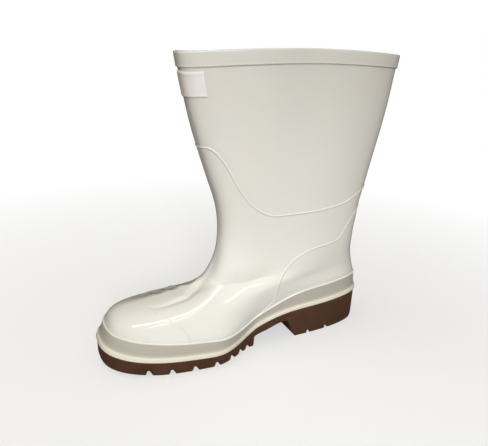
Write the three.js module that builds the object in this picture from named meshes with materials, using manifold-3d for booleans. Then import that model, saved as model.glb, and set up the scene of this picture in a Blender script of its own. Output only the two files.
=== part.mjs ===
// A pull-on work boot for the right foot, in millimetres.
// The toe points to -Y, +Z is up and +X is the inner side of the foot.
import * as THREE from 'three';
import Module from 'manifold-3d';

// Overall sizes
const bootLength = 290;
const shaftHeight = 280;
const ballWidth = 110;
const heelHeight = 33;
const swing = 3;              // how far the ball and toe swing to the inner side
const rimArch = 5.3;          // how far the rim's inner side stands above its front and back
const outerRimArch = 0.8;
const outerRimTwist = 3.0;    // the rim's outer side dips in front and rises behind
const outerDrop = 7;          // how much lower the instep's outer side lies than its inner side

// Wall and the steps in it
const wall = 2.2;
const gap = 0.3;              // clearance between two pieces that meet
const foxingHeight = 21.5;
const foxingProud = 0.9;
const lipHeight = 4;
const lipProud = 2.6;
const lipFlare = 3;           // height of the hollow curve from the lip into the foxing band
const collarHeight = 13;
const collarProud = 1.1;
const ledge = 0.8;            // height of the slope of a step

// Raised ribs of the moulding
const ribHeight = 0.85;
const ribHalfWidth = 1.3;
const ribRoot = 0.7;          // how deep the rib goes into the wall

// Outsole
const soleInset = 1.0;        // sole wall behind the edge of the lip
const soleTaper = 0.4;        // and how much narrower it is at the floor
const toeSpring = 4.6;
const springStart = 236;      // distance from the heel where the sole leaves the floor
const channelDepth = 4.6;
const channelWidth = 4.2;
const channelSlant = 1.8;
const heelChannelWidth = 3.2;
const archFront = 142;
const archBack = 93;
const archTop = 20.6;

// Footbed
const footbedThick = 4;
const footbedTaper = 1.8;

// Bare plate on the front of the shaft
const plateThick = 0.8;
const plateHeight = 22;
const plateBelowCollar = 3;
const plateWidth = 51.0;       // measured round the shaft

// Grid sizes
const roundSteps = 64;
const soleSteps = roundSteps / 2;

// Rings of the upper from the sole to the rim, all in per cent.
// front, back: place along the length; frontUp, backUp: share of the shaft height;
// ball, waist, heel: half-breadths as a share of the half ball width; nose, tail: roundness.
const ringRows = [
  { front: 98.8, frontUp: 7.3, back: 2.8, backUp: 11.8, ball: 95.5, waist: 60.0, heel: 61.8, nose: 2.70, tail: 3.2 },
  { front: 96.8, frontUp: 13.7, back: 3.6, backUp: 19.5, ball: 95.3, waist: 62.7, heel: 62.2, nose: 2.60, tail: 3.2 },
  { front: 95.3, frontUp: 16.8, back: 4.1, backUp: 21.8, ball: 87.3, waist: 65.0, heel: 60.9, nose: 2.45, tail: 3.2 },
  { front: 92.4, frontUp: 18.8, back: 4.6, backUp: 23.6, ball: 77.3, waist: 65.5, heel: 59.1, nose: 2.30, tail: 3.2 },
  { front: 86.9, frontUp: 20.0, back: 5.1, backUp: 25.4, ball: 66.4, waist: 65.0, heel: 57.8, nose: 2.10, tail: 3.2 },
  { front: 79.5, frontUp: 20.5, back: 5.5, backUp: 27.1, ball: 55.0, waist: 64.0, heel: 56.8, nose: 1.95, tail: 3.2 },
  { front: 72.0, frontUp: 21.2, back: 5.9, backUp: 29.3, ball: 48.2, waist: 62.0, heel: 55.5, nose: 1.95, tail: 3.2 },
  { front: 65.9, frontUp: 23.0, back: 6.1, backUp: 31.8, ball: 47.7, waist: 59.5, heel: 54.5, nose: 2.05, tail: 3.2 },
  { front: 61.7, frontUp: 26.8, back: 6.1, backUp: 34.6, ball: 49.1, waist: 57.3, heel: 53.6, nose: 2.25, tail: 3.2 },
  { front: 59.0, frontUp: 31.8, back: 5.9, backUp: 38.2, ball: 49.1, waist: 55.0, heel: 52.2, nose: 2.45, tail: 3.2 },
  { front: 58.0, frontUp: 37.7, back: 5.1, backUp: 42.1, ball: 49.1, waist: 53.0, heel: 50.5, nose: 2.55, tail: 3.10 },
  { front: 58.1, frontUp: 43.9, back: 4.2, backUp: 47.5, ball: 49.1, waist: 51.5, heel: 49.1, nose: 2.60, tail: 3.00 },
  { front: 59.2, frontUp: 50.7, back: 2.4, backUp: 53.6, ball: 49.1, waist: 50.5, heel: 47.8, nose: 2.65, tail: 2.90 },
  { front: 61.7, frontUp: 58.6, back: 0.5, backUp: 60.9, ball: 49.1, waist: 48.5, heel: 46.4, nose: 2.70, tail: 2.80 },
  { front: 65.1, frontUp: 68.6, back: -1.8, backUp: 70.5, ball: 50.0, waist: 45.0, heel: 44.5, nose: 2.75, tail: 2.75 },
  { front: 69.0, frontUp: 81.4, back: -4.2, backUp: 83.0, ball: 50.9, waist: 42.5, heel: 42.8, nose: 2.80, tail: 2.70 },
  { front: 72.9, frontUp: 99.9, back: -6.8, backUp: 100.2, ball: 51.8, waist: 41.5, heel: 41.8, nose: 2.80, tail: 2.70 },
];
const topRing = ringRows.length - 1;
const foxingRings = 1;        // the foxing band reaches ring 1
const foxingFade = 5;         // rings above it that still follow its curve

// Height of the joint between upper and sole, as a share of the heel height
const weltRows = [
  { along: 0.00, up: 1.006 }, { along: 0.12, up: 1.0 }, { along: 0.25, up: 0.964 },
  { along: 0.36, up: 0.900 }, { along: 0.46, up: 0.676 }, { along: 0.53, up: 0.452 },
  { along: 0.60, up: 0.346 }, { along: 0.70, up: 0.356 }, { along: 0.80, up: 0.388 },
  { along: 0.90, up: 0.457 }, { along: 1.00, up: 0.590 },
];

// Height of the foxing band above the joint, as a share of its full height
const foxingRows = [
  { along: 0.00, high: 1.00 }, { along: 0.20, high: 0.98 }, { along: 0.34, high: 0.88 },
  { along: 0.45, high: 0.67 }, { along: 0.55, high: 0.67 }, { along: 0.65, high: 0.74 },
  { along: 0.80, high: 0.81 }, { along: 0.92, high: 0.85 }, { along: 1.00, high: 0.80 },
];

// Raised lines: share of the way from back to front, and ring
const ankleLine = [
  { share: 1.000, ring: 14.20 }, { share: 0.980, ring: 14.22 }, { share: 0.955, ring: 14.10 },
  { share: 0.935, ring: 13.86 }, { share: 0.914, ring: 13.44 }, { share: 0.877, ring: 12.59 },
  { share: 0.824, ring: 11.95 }, { share: 0.746, ring: 11.50 }, { share: 0.660, ring: 11.37 },
  { share: 0.500, ring: 11.32 }, { share: 0.335, ring: 11.32 }, { share: 0.205, ring: 11.41 },
  { share: 0.114, ring: 11.70 }, { share: 0.000, ring: 12.08 },
];
const counterLine = [
  { share: 0.462, ring: 0.90 }, { share: 0.422, ring: 1.55 }, { share: 0.417, ring: 2.82 },
  { share: 0.460, ring: 4.66 }, { share: 0.515, ring: 6.25 }, { share: 0.532, ring: 7.32 },
  { share: 0.510, ring: 8.05 }, { share: 0.456, ring: 8.41 }, { share: 0.370, ring: 8.60 },
  { share: 0.250, ring: 8.57 }, { share: 0.178, ring: 8.80 }, { share: 0.148, ring: 9.55 },
  { share: 0.080, ring: 10.43 }, { share: 0.000, ring: 10.90 },
];
const toeLine = [
  { share: 0.757, ring: 0.90 }, { share: 0.768, ring: 1.60 }, { share: 0.790, ring: 2.25 },
  { share: 0.818, ring: 2.56 },
];

// Channels across the sole: distance from the heel as a share of the length
const frontChannels = [0.866, 0.795, 0.721, 0.648, 0.588, 0.547, 0.514];
const heelChannels = [0.265, 0.185];

const colours = { upper: 0xe6e0d6, outsole: 0x5c3b2a, footbed: 0xd8d0c4, plate: 0xf2efe9 };

const wasm = await Module();
wasm.setup();

// Natural cubic spline through the values at the places, as a function
function spline(places, values) {
  const last = places.length - 1;
  const width = places.slice(1).map((place, k) => place - places[k]);
  const rise = values.slice(1).map((value, k) => (value - values[k]) / width[k]);
  const bend = new Array(last + 1).fill(0);
  const ratio = new Array(last + 1).fill(0);
  const part = new Array(last + 1).fill(0);
  for (let k = 1; k < last; k++) {
    const pivot = 2 * (width[k - 1] + width[k]) - width[k - 1] * ratio[k - 1];
    ratio[k] = width[k] / pivot;
    part[k] = (6 * (rise[k] - rise[k - 1]) - width[k - 1] * part[k - 1]) / pivot;
  }
  for (let k = last - 1; k > 0; k--) {
    bend[k] = part[k] - ratio[k] * bend[k + 1];
  }
  return (at) => {
    let k = 0;
    while (k < last - 1 && at > places[k + 1]) k++;
    const a = (places[k + 1] - at) / width[k];
    const b = (at - places[k]) / width[k];
    const curve = ((a ** 3 - a) * bend[k] + (b ** 3 - b) * bend[k + 1]) * width[k] ** 2 / 6;
    return a * values[k] + b * values[k + 1] + curve;
  };
}

const clamp = (value) => Math.min(1, Math.max(0, value));
const smooth = (value) => clamp(value) ** 2 * (3 - 2 * clamp(value));

// One spline for each column of the ring table, in millimetres where it is a length
const columnScale = {
  front: bootLength / 100, back: bootLength / 100,
  frontUp: shaftHeight / 100, backUp: shaftHeight / 100,
  ball: ballWidth / 200, waist: ballWidth / 200, heel: ballWidth / 200, nose: 1, tail: 1,
};
const ringNumbers = ringRows.map((row, k) => k);
const ringColumn = {};
for (const name of Object.keys(columnScale)) {
  ringColumn[name] = spline(ringNumbers, ringRows.map((row) => row[name] * columnScale[name]));
}

const weltShare = spline(weltRows.map((row) => row.along), weltRows.map((row) => row.up));
const foxingShare = spline(foxingRows.map((row) => row.along), foxingRows.map((row) => row.high));
const weltHeight = (u) => heelHeight * weltShare(clamp(u / bootLength));
const foxingTop = (u) => weltHeight(u) + foxingHeight * foxingShare(clamp(u / bootLength));

// The middle line of the foot, which swings to the inner side at the toe
const middle = (u) => swing * (clamp((u / bootLength - 0.25) / 0.75) ** 2 - 0.3);

// A point of the plain upper. The angle runs from the back (0) past the inner side
// and the toe (half a turn) round the outer side; ring runs up the table.
function plainUpper(ring, angle) {
  const row = {};
  for (const name of Object.keys(columnScale)) row[name] = ringColumn[name](ring);
  const share = (1 - Math.cos(angle)) / 2;
  const across = 2 * share - 1;
  const power = across > 0 ? row.nose : row.tail;
  const fullness = Math.max(0, 1 - Math.abs(across) ** power) ** (1 / power);
  const toWaist = smooth((share - 0.16) / 0.28);
  const low = 1 - smooth((ring - foxingRings) / 5);
  const toBall = smooth((share - 0.44 - 0.02 * low) / (0.28 - 0.08 * low));
  const half = row.heel + (row.waist - row.heel) * toWaist + (row.ball - row.waist) * toBall;
  const u = row.back + share * (row.front - row.back);
  const level = row.backUp + share * (row.frontUp - row.backUp);
  const first = ringRows[0];
  const second = ringRows[foxingRings];
  const scale = shaftHeight / 100;
  const lowLevel = scale * (first.backUp + share * (first.frontUp - first.backUp));
  const highLevel = scale * (second.backUp + share * (second.frontUp - second.backUp));
  const lowBend = weltHeight(u) - lowLevel;
  const highBend = foxingTop(u) - highLevel;
  const rising = clamp(ring / foxingRings);
  const fade = 1 - smooth((ring - foxingRings) / foxingFade);
  const bend = ring < foxingRings ? lowBend + (highBend - lowBend) * rising : highBend * fade;
  const straighten = 1 - smooth((ring - 3) / 6);
  const side = Math.sin(angle) >= 0 ? 1 : -1;
  const rimRise = side > 0 ? rimArch : outerRimArch - outerRimTwist * across;
  const arch = rimRise * smooth((ring - topRing + 5) / 5) * (1 - across ** 2);
  const instep = smooth((ring - 1.8) / 2.6) * (1 - smooth((ring - 4.5) / 4)) * smooth((share - 0.25) / 0.35);
  const drop = side < 0 ? outerDrop * instep * smooth(1.2 * Math.abs(Math.sin(angle))) : 0;
  return new THREE.Vector3(middle(u) * straighten + side * half * fullness, -u, level + bend + arch - drop);
}

// Outward direction of the plain upper
function outward(ring, angle) {
  const d = 0.04;
  const low = Math.max(0, ring - d);
  const high = Math.min(topRing, ring + d);
  const up = plainUpper(high, angle).sub(plainUpper(low, angle));
  const round = plainUpper(ring, angle + d).sub(plainUpper(ring, angle - d));
  return up.cross(round).normalize();
}

// A point held off the plain upper by a distance along its outward direction
function offUpper(ring, angle, distance) {
  return plainUpper(ring, angle).addScaledVector(outward(ring, angle), distance);
}

// The same at the foot of the upper, set down on the joint with the sole
function onWelt(angle, distance, lift) {
  const point = offUpper(0, angle, distance);
  point.z = weltHeight(-point.y) + lift;
  return point;
}

// Ring of a height above the joint, or of a height below the rim, at an angle
const foxingRing = (height, angle) => {
  const u = -plainUpper(0, angle).y;
  return height / (foxingHeight * foxingShare(clamp(u / bootLength)));
};
const frontClimb = (plainUpper(topRing, Math.PI).z - plainUpper(topRing - 0.5, Math.PI).z) / 0.5;
const belowRim = (height) => topRing - height / frontClimb;

// Solids
function manifoldOf(points, faces) {
  const index = new Map();
  const vertices = [];
  const keys = points.map((point) => {
    const key = [point.x, point.y, point.z].map((value) => value.toFixed(5)).join(' ');
    if (!index.has(key)) {
      index.set(key, vertices.length / 3);
      vertices.push(point.x, point.y, point.z);
    }
    return index.get(key);
  });
  const triangles = [];
  for (const [a, b, c] of faces) {
    const [i, j, k] = [keys[a], keys[b], keys[c]];
    if (i !== j && j !== k && k !== i) triangles.push(i, j, k);
  }
  return new wasm.Manifold(new wasm.Mesh({
    numProp: 3,
    vertProperties: new Float32Array(vertices),
    triVerts: new Uint32Array(triangles),
  }));
}

// A closed skin from a list of loops, each joined to the next and the last to the first
function skinOf(loops, joinEnds) {
  const count = loops[0].length;
  const faces = [];
  const last = joinEnds ? loops.length : loops.length - 1;
  for (let r = 0; r < last; r++) {
    const here = r * count;
    const next = ((r + 1) % loops.length) * count;
    for (let k = 0; k < count; k++) {
      const after = (k + 1) % count;
      faces.push([here + k, next + after, here + after], [here + k, next + k, next + after]);
    }
  }
  return manifoldOf(loops.flat(), faces);
}

// A solid between two end sections of a loft, each end drawn together to a line or point
function slab(outline, top, bottom, taper) {
  const acrossTop = [-1, -0.6, 0, 0.6, 1];
  const loops = [];
  for (let k = 0; k <= soleSteps; k++) {
    const angle = Math.PI * k / soleSteps;
    const inner = outline(angle, 0);
    const outer = outline(-angle, 0);
    const innerLow = outline(angle, taper);
    const outerLow = outline(-angle, taper);
    const section = [];
    for (const place of acrossTop) {
      const point = inner.clone().lerp(outer, (1 - place) / 2);
      point.z = top(-point.y);
      section.push(point);
    }
    for (const place of acrossTop.toReversed()) {
      const point = innerLow.clone().lerp(outerLow, (1 - place) / 2);
      point.z = bottom(-point.y);
      section.push(point);
    }
    loops.push(section);
  }
  return skinOf(loops, false);
}

// A bar across the whole boot from a profile of distance from the heel and height
function crossBar(profile) {
  const reach = ballWidth;
  const clockwise = THREE.ShapeUtils.isClockWise(profile.map((row) => new THREE.Vector2(row.u, row.z)));
  const rows = clockwise ? profile.toReversed() : profile;
  const count = rows.length;
  const points = [-reach, reach].flatMap((x) => rows.map((row) => new THREE.Vector3(x, -row.u, row.z)));
  const faces = [];
  for (const [a, b, c] of THREE.ShapeUtils.triangulateShape(rows.map((row) => new THREE.Vector2(row.u, row.z)), [])) {
    faces.push([a, b, c], [c + count, b + count, a + count]);
  }
  for (let k = 0; k < count; k++) {
    const after = (k + 1) % count;
    faces.push([after, k, after + count], [after + count, k, k + count]);
  }
  return manifoldOf(points, faces);
}

// Upper
function upperSolid() {
  const angles = Array.from({ length: roundSteps }, (none, k) => 2 * Math.PI * k / roundSteps);
  const loops = [];
  const loopAt = (ringAt, distance) => {
    loops.push(angles.map((angle) => offUpper(ringAt(angle), angle, distance)));
  };
  loops.push(angles.map((angle) => onWelt(angle, lipProud, gap)));
  loopAt((angle) => foxingRing(lipHeight, angle), lipProud);
  loopAt((angle) => foxingRing(lipHeight + 0.25 * lipFlare, angle), foxingProud + 0.4 * (lipProud - foxingProud));
  loopAt((angle) => foxingRing(lipHeight + lipFlare, angle), foxingProud);
  loopAt(() => 0.6, foxingProud);
  loopAt((angle) => foxingRings - foxingRing(ledge, angle), foxingProud);
  for (const ring of [1, 1.5, 2, 2.5, 3, 3.5, 4, 4.5, 5, 5.5, 6, 6.5, 7, 7.5, 8, 8.5, 9, 9.6, 10.2, 10.8]) {
    loopAt(() => ring, 0);
  }
  for (const ring of [11.4, 12, 12.6, 13.2, 13.8, 14.4, 15]) loopAt(() => ring, 0);
  loopAt(() => belowRim(collarHeight + ledge), 0);
  loopAt(() => belowRim(collarHeight), collarProud);
  loopAt(() => belowRim(collarHeight / 2), collarProud);
  loopAt(() => topRing, collarProud);
  for (const ring of [topRing, 15, 14, 13, 12, 11, 10, 9, 8, 7, 6, 5, 4, 3, 2, 1]) {
    loopAt(() => ring, -wall);
  }
  loops.push(angles.map((angle) => onWelt(angle, -wall, gap)));
  return skinOf(loops, true);
}

// A raised line on the upper: a thin round bar half sunk in its wall
function ribSolid(rows, count, side, closed) {
  const numbers = rows.map((row, k) => k);
  const shareAt = spline(numbers, rows.map((row) => row.share));
  const ringAt = spline(numbers, rows.map((row) => row.ring));
  const path = [];
  for (let k = 0; k <= count; k++) {
    const at = (rows.length - 1) * k / count;
    path.push({ angle: Math.acos(1 - 2 * clamp(shareAt(at))), ring: ringAt(at) });
  }
  const whole = side === 'both'
    ? [...path, ...path.slice(closed ? 1 : 0, -1).reverse().map((row) => ({ ...row, angle: -row.angle }))]
    : path.map((row) => ({ ...row, angle: side * row.angle }));
  const centres = whole.map((row) => plainUpper(row.ring, row.angle));
  const loops = centres.map((centre, k) => {
    const before = closed ? centres.at(k - 1) : centres[Math.max(0, k - 1)];
    const after = closed ? centres[(k + 1) % centres.length] : centres[Math.min(centres.length - 1, k + 1)];
    const up = outward(whole[k].ring, whole[k].angle);
    const along = after.clone().sub(before).normalize();
    const aside = up.clone().cross(along).normalize();
    const size = !closed && (k === 0 || k === centres.length - 1) ? 0 : 1;
    const at = (out, sideways) => centre.clone()
      .addScaledVector(up, out * size)
      .addScaledVector(aside, sideways * size);
    return [at(ribHeight, 0), at(-ribRoot / 3, ribHalfWidth), at(-ribRoot, 0), at(-ribRoot / 3, -ribHalfWidth)];
  });
  return skinOf(loops, closed);
}

// Outsole
const soleOutline = (angle, taper) => onWelt(angle, lipProud - soleInset - taper, 0);
const springHeight = (u) => toeSpring * clamp((u - springStart) / (bootLength - springStart)) ** 1.3;

function archProfile() {
  const rows = [
    { along: 0.00, up: 0.00 }, { along: 0.08, up: 0.31 }, { along: 0.15, up: 0.64 },
    { along: 0.20, up: 0.87 }, { along: 0.25, up: 0.97 }, { along: 0.32, up: 1.00 },
    { along: 0.50, up: 0.87 }, { along: 0.70, up: 0.70 }, { along: 0.86, up: 0.60 },
    { along: 0.97, up: 0.50 }, { along: 1.00, up: 0.42 },
  ];
  const arch = rows.map((row) => ({ u: archBack + row.along * (archFront - archBack), z: row.up * archTop }));
  return [{ u: archBack, z: -heelHeight }, ...arch, { u: archFront, z: -heelHeight }];
}

function channelProfile(u, width, slant, bottom) {
  return [
    { u: u - width / 2, z: bottom - heelHeight },
    { u: u - width / 2, z: bottom + channelDepth * 0.8 },
    { u: u - width / 4, z: bottom + channelDepth },
    { u: u + width / 4, z: bottom + channelDepth },
    { u: u + width / 2, z: bottom + channelDepth * 0.7 },
    { u: u + width / 2 + slant, z: bottom },
    { u: u + width / 2 + slant, z: bottom - heelHeight },
  ];
}

function outsoleSolid() {
  const body = slab(soleOutline, weltHeight, springHeight, soleTaper);
  const cuts = [crossBar(archProfile())];
  for (const share of frontChannels) {
    const u = share * bootLength;
    cuts.push(crossBar(channelProfile(u, channelWidth, channelSlant, springHeight(u))));
  }
  for (const share of heelChannels) {
    cuts.push(crossBar(channelProfile(share * bootLength, heelChannelWidth, 0.3, 0)));
  }
  return cuts.reduce((solid, cut) => solid.subtract(cut), body);
}

// Footbed, lying on the outsole inside the upper
function footbedSolid() {
  const outline = (angle, taper) => onWelt(angle, -wall - gap - footbedTaper + taper, 0);
  const top = (u) => weltHeight(u) + gap + footbedThick;
  const bottom = (u) => weltHeight(u) + gap;
  return slab(outline, top, bottom, footbedTaper);
}

// The angle from the front that reaches a length round the upper, walked in small steps
function reachingAngle(ring, length) {
  const step = 0.002;
  let angle = 0;
  let walked = 0;
  let here = plainUpper(ring, Math.PI);
  while (walked < length && angle < Math.PI / 2) {
    angle += step;
    const next = plainUpper(ring, Math.PI - angle);
    walked += next.distanceTo(here);
    here = next;
  }
  return angle;
}

// Bare plate that follows the front of the shaft
function plateSolid() {
  const wide = 16;
  const high = 4;
  const highest = belowRim(collarHeight + plateBelowCollar);
  const lowest = belowRim(collarHeight + plateBelowCollar + plateHeight);
  const reach = reachingAngle((lowest + highest) / 2, plateWidth / 2);
  const loops = [];
  for (let r = 0; r <= high; r++) {
    const ring = lowest + (highest - lowest) * r / high;
    const angles = Array.from({ length: wide + 1 }, (none, k) => Math.PI + reach * (2 * k / wide - 1));
    const outer = angles.map((angle) => offUpper(ring, angle, gap + plateThick));
    const inner = angles.map((angle) => offUpper(ring, angle, gap));
    loops.push([...outer, ...inner.reverse()]);
  }
  const points = loops.flat();
  const count = loops[0].length;
  const faces = [];
  for (let r = 0; r < high; r++) {
    for (let k = 0; k < count; k++) {
      const after = (k + 1) % count;
      const here = r * count;
      faces.push([here + k, here + count + after, here + after], [here + k, here + count + k, here + count + after]);
    }
  }
  const topRow = high * count;
  for (let k = 0; k < wide; k++) {
    const [a, b, c, d] = [k, k + 1, count - 2 - k, count - 1 - k];
    faces.push([a, b, c], [a, c, d], [topRow + a, topRow + c, topRow + b], [topRow + a, topRow + d, topRow + c]);
  }
  return manifoldOf(points, faces);
}

function meshOf(name, solid, colour, shine) {
  const mesh = solid.getMesh();
  const geometry = new THREE.BufferGeometry();
  const positions = new Float32Array(mesh.numVert * 3);
  for (let k = 0; k < mesh.numVert; k++) {
    positions.set(mesh.vertProperties.subarray(k * mesh.numProp, k * mesh.numProp + 3), 3 * k);
  }
  geometry.setAttribute('position', new THREE.BufferAttribute(positions, 3));
  geometry.setIndex(new THREE.BufferAttribute(new Uint32Array(mesh.triVerts), 1));
  geometry.computeVertexNormals();
  const material = new THREE.MeshStandardMaterial({ color: colour, roughness: shine, metalness: 0 });
  const part = new THREE.Mesh(geometry, material);
  part.name = name;
  return part;
}

const ribs = [
  ribSolid(ankleLine, 42, 'both', true),
  ribSolid(counterLine, 38, 'both', false),
  ribSolid(toeLine, 5, 1, false),
  ribSolid(toeLine, 5, -1, false),
];
const upper = ribs.reduce((solid, rib) => solid.add(rib), upperSolid());

const boot = new THREE.Group();
boot.name = 'work_boot';
boot.add(
  meshOf('upper', upper, colours.upper, 0.35),
  meshOf('outsole', outsoleSolid(), colours.outsole, 0.6),
  meshOf('footbed', footbedSolid(), colours.footbed, 0.8),
  meshOf('front_plate', plateSolid(), colours.plate, 0.5),
);

// The origin goes to the middle of the bounding box, on the floor
const box = new THREE.Box3().setFromObject(boot);
const centre = box.getCenter(new THREE.Vector3());
for (const part of boot.children) {
  part.geometry.translate(-centre.x, -centre.y, -box.min.z);
}

export default boot;
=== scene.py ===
import math

import bpy
import numpy as np
from mathutils import Matrix, Vector


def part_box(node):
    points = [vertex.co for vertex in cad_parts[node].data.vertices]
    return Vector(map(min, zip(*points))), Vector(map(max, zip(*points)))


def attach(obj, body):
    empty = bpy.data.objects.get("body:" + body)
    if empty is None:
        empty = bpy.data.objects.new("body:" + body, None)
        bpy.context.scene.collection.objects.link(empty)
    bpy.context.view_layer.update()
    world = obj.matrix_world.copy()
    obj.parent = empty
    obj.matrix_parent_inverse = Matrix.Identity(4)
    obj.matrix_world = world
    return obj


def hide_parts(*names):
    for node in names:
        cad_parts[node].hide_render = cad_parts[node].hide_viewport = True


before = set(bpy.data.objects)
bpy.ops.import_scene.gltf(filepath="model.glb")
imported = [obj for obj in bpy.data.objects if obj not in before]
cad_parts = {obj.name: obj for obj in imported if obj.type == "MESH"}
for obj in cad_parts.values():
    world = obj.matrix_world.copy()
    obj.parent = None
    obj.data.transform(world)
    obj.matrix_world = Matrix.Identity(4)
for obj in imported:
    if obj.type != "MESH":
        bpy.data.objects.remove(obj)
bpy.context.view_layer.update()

# A millimetre in metres
MM = 0.001

# Sizes of the boot in millimetres, as its solids have them; the fade is counted in rings
BOOT_LENGTH = 290.0
SHAFT_HEIGHT = 280.0
BALL_WIDTH = 110.0
HEEL_HEIGHT = 33.0
SWING = 3.0
RIM_ARCH = 5.3
OUTER_RIM_ARCH = 0.8
OUTER_RIM_TWIST = 3.0
OUTER_DROP = 7.0
WALL = 2.2
GAP = 0.3
FOXING_HEIGHT = 21.5
FOXING_PROUD = 0.9
FOXING_FADE = 5
LIP_HEIGHT = 4.0
LIP_PROUD = 2.6
LIP_FLARE = 3.0
COLLAR_HEIGHT = 13.0
COLLAR_PROUD = 1.1
SOLE_INSET = 1.0
SOLE_TAPER = 0.4
TOE_SPRING = 4.6
SPRING_START = 236.0
CHANNEL_DEPTH = 4.6
CHANNEL_WIDTH = 4.2
CHANNEL_SLANT = 1.8
HEEL_CHANNEL_WIDTH = 3.2
ARCH_FRONT = 142.0
ARCH_BACK = 93.0
ARCH_TOP = 20.6
FOOTBED_THICK = 4.0
FOOTBED_TAPER = 1.8
PLATE_THICK = 0.8
PLATE_HEIGHT = 22.0
PLATE_BELOW_COLLAR = 3.0
PLATE_WIDTH = 51.0
RIM_ROUNDING = 1.3
LINING_THICK = 0.7

# Channels across the sole: places as shares of the length
FRONT_CHANNELS = (0.866, 0.795, 0.721, 0.648, 0.588, 0.547, 0.514)
HEEL_CHANNELS = (0.265, 0.185)

# Points once round the upper
AROUND = 300

# Rings of the upper in per cent of the length, the shaft height and the half ball width
RING_ROWS = (
    # front, front up, back, back up, ball, waist, heel, nose, tail
    (98.8, 7.3, 2.8, 11.8, 95.5, 60.0, 61.8, 2.70, 3.2),
    (96.8, 13.7, 3.6, 19.5, 95.3, 62.7, 62.2, 2.60, 3.2),
    (95.3, 16.8, 4.1, 21.8, 87.3, 65.0, 60.9, 2.45, 3.2),
    (92.4, 18.8, 4.6, 23.6, 77.3, 65.5, 59.1, 2.30, 3.2),
    (86.9, 20.0, 5.1, 25.4, 66.4, 65.0, 57.8, 2.10, 3.2),
    (79.5, 20.5, 5.5, 27.1, 55.0, 64.0, 56.8, 1.95, 3.2),
    (72.0, 21.2, 5.9, 29.3, 48.2, 62.0, 55.5, 1.95, 3.2),
    (65.9, 23.0, 6.1, 31.8, 47.7, 59.5, 54.5, 2.05, 3.2),
    (61.7, 26.8, 6.1, 34.6, 49.1, 57.3, 53.6, 2.25, 3.2),
    (59.0, 31.8, 5.9, 38.2, 49.1, 55.0, 52.2, 2.45, 3.2),
    (58.0, 37.7, 5.1, 42.1, 49.1, 53.0, 50.5, 2.55, 3.10),
    (58.1, 43.9, 4.2, 47.5, 49.1, 51.5, 49.1, 2.60, 3.00),
    (59.2, 50.7, 2.4, 53.6, 49.1, 50.5, 47.8, 2.65, 2.90),
    (61.7, 58.6, 0.5, 60.9, 49.1, 48.5, 46.4, 2.70, 2.80),
    (65.1, 68.6, -1.8, 70.5, 50.0, 45.0, 44.5, 2.75, 2.75),
    (69.0, 81.4, -4.2, 83.0, 50.9, 42.5, 42.8, 2.80, 2.70),
    (72.9, 99.9, -6.8, 100.2, 51.8, 41.5, 41.8, 2.80, 2.70),
)
TOP_RING = len(RING_ROWS) - 1
RING_SCALE = np.array((BOOT_LENGTH / 100, SHAFT_HEIGHT / 100, BOOT_LENGTH / 100, SHAFT_HEIGHT / 100,
                       BALL_WIDTH / 200, BALL_WIDTH / 200, BALL_WIDTH / 200, 1, 1))
RINGS = np.array(RING_ROWS) * RING_SCALE

# Joint with the sole and height of the foxing band: share of the length, share of the height
WELT_ROWS = np.array((
    (0.00, 1.006), (0.12, 1.000), (0.25, 0.964), (0.36, 0.900), (0.46, 0.676), (0.53, 0.452),
    (0.60, 0.346), (0.70, 0.356), (0.80, 0.388), (0.90, 0.457), (1.00, 0.590),
))
FOXING_ROWS = np.array((
    (0.00, 1.00), (0.20, 0.98), (0.34, 0.88), (0.45, 0.67), (0.55, 0.67), (0.65, 0.74),
    (0.80, 0.81), (0.92, 0.85), (1.00, 0.80),
))

# Arch gap: share of its length from the heel block forwards, share of its height
ARCH_ROWS = np.array((
    (0.00, 0.00), (0.08, 0.31), (0.15, 0.64), (0.20, 0.87), (0.25, 0.97), (0.32, 1.00),
    (0.50, 0.87), (0.70, 0.70), (0.86, 0.60), (0.97, 0.50), (1.00, 0.42),
))

# Raised lines of the moulding: share of the way from back to front, ring, height in mm
ANKLE_LINE = np.array((
    (1.000, 14.20, 0.75), (0.980, 14.22, 0.75), (0.955, 14.10, 0.80), (0.935, 13.86, 0.80),
    (0.914, 13.44, 0.80), (0.877, 12.59, 0.80), (0.824, 11.95, 0.80), (0.746, 11.50, 0.80),
    (0.660, 11.37, 0.75), (0.500, 11.32, 0.75), (0.335, 11.32, 0.75), (0.205, 11.41, 0.75),
    (0.114, 11.70, 0.75), (0.000, 12.08, 0.75),
))
COUNTER_LINE = np.array((
    (0.459, 1.03, 0.50), (0.422, 1.55, 0.60), (0.417, 2.82, 0.65), (0.460, 4.66, 0.70),
    (0.515, 6.25, 0.70), (0.532, 7.32, 0.70), (0.510, 8.05, 0.70), (0.456, 8.41, 0.65),
    (0.370, 8.60, 0.60), (0.250, 8.57, 0.60), (0.178, 8.80, 0.60), (0.148, 9.55, 0.60),
    (0.080, 10.43, 0.60), (0.000, 10.90, 0.60),
))
TOE_LINE = np.array((
    (0.758, 1.04, 0.60), (0.768, 1.60, 0.60), (0.790, 2.25, 0.55), (0.818, 2.56, 0.42),
    (0.853, 2.99, 0.28), (0.891, 3.31, 0.20), (0.939, 3.77, 0.16), (0.974, 4.03, 0.14),
    (1.000, 4.12, 0.14),
))
FRONT_PARTING = np.array((
    (1.0, 1.05, 0.16), (1.0, 3.00, 0.16), (1.0, 6.00, 0.14), (1.0, 9.00, 0.14), (1.0, 12.0, 0.14),
    (1.0, 15.1, 0.14),
))
BACK_PARTING = np.array((
    (0.0, 1.05, 0.18), (0.0, 5.00, 0.18), (0.0, 10.0, 0.18), (0.0, 15.6, 0.18),
))
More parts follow.
